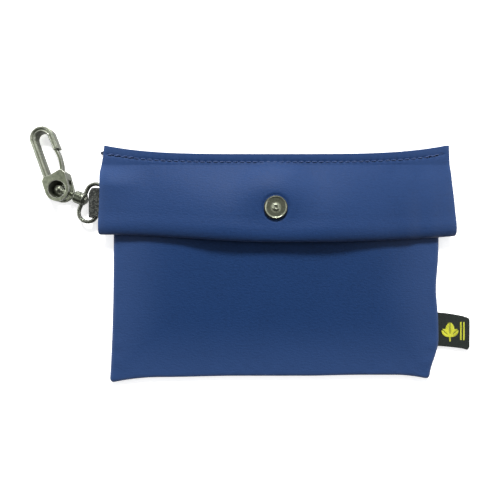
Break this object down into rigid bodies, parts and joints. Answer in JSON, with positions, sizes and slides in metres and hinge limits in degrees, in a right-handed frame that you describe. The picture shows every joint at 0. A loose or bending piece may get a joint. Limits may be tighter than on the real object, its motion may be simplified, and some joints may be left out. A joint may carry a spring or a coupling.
{
  "type": "fold-over flap pouch with snap and swivel hook",
  "caption": "Flat soft pouch with a fold-over flap, a snap fastener, a side label and a swivel hook on a webbing loop.",
  "frame": {"origin": "centre of the pouch's back face, level with the snap across and between the mouth and the bottom seam", "axes": "+X along the pouch's long side towards the label, +Y up to the flap's top edge, +Z out of the front face"},
  "size_m": [0.2295, 0.1338, 0.0134],
  "materials": {
    "body_leather": "fine matte grain",
    "flap_leather": "fine matte grain, paler where it bends",
    "thread": "twisted polyester thread",
    "gunmetal": "antique gunmetal plating, worn bright on its edges",
    "spring_steel": "bright drawn wire",
    "webbing": "plain-woven flat webbing",
    "ribbon": "damask-woven label ribbon",
    "motif_thread": "yellow embroidery thread"
  },
  "bodies": {
    "pouch": {"back_panel": "body_leather", "front_panel": "body_leather", "body_seam_thread": "thread", "flap_sewn_edge": "flap_leather", "flap_needle_thread": "thread", "flap_bobbin_thread": "thread", "snap_stud": "gunmetal", "snap_post": "gunmetal", "strap_tail": "webbing", "strap_bartack": "thread", "label_tail": "ribbon"},
    "flap": {"flap": "flap_leather", "snap_cap": "gunmetal", "snap_socket": "gunmetal", "snap_spring": "spring_steel"},
    "strap": {"strap_loop": "webbing"},
    "ring": {"swivel_ring": "gunmetal"},
    "pin": {"swivel_pin": "gunmetal"},
    "hook": {"hook_frame": "gunmetal"},
    "gate": {"hook_gate": "gunmetal"},
    "label": {"label_ribbon": "ribbon", "label_motif": "motif_thread"}
  },
  "joints": [
    {"name": "flap_hinge", "type": "hinge", "parent": "pouch", "child": "flap", "pos_m": [0, 0.0519, 0.00375], "axis": [-1, 0, 0], "range_deg": [0, 150]},
    {"name": "strap_bend", "type": "hinge", "parent": "pouch", "child": "strap", "pos_m": [-0.0857, 0.0323, 0.00098], "axis": [0, 1, 0], "range_deg": [-80, 0]},
    {"name": "ring_swing", "type": "hinge", "parent": "strap", "child": "ring", "pos_m": [-0.09229, 0.03085, 0.0034], "axis": [0.3746, 0.9272, 0], "range_deg": [-22, 22]},
    {"name": "swivel_spin", "type": "hinge", "parent": "ring", "child": "pin", "pos_m": [-0.10045, 0.03415, 0.0034], "axis": [-0.9272, 0.3746, 0], "continuous": true},
    {"name": "hook_pivot", "type": "hinge", "parent": "pin", "child": "hook", "pos_m": [-0.1126, 0.03905, 0.0034], "axis": [0, 0, 1], "range_deg": [-44, 60]},
    {"name": "gate_flex", "type": "hinge", "parent": "hook", "child": "gate", "pos_m": [-0.11145, 0.04784, 0.0034], "axis": [0, 0, 1], "range_deg": [0, 17], "stiffness_Nm_per_rad": 0.02, "springref_deg": -2.86},
    {"name": "label_bend", "type": "hinge", "parent": "pouch", "child": "label", "pos_m": [0.08565, -0.034, 0.00136], "axis": [0, 1, 0], "range_deg": [-75, 75]}
  ]
}
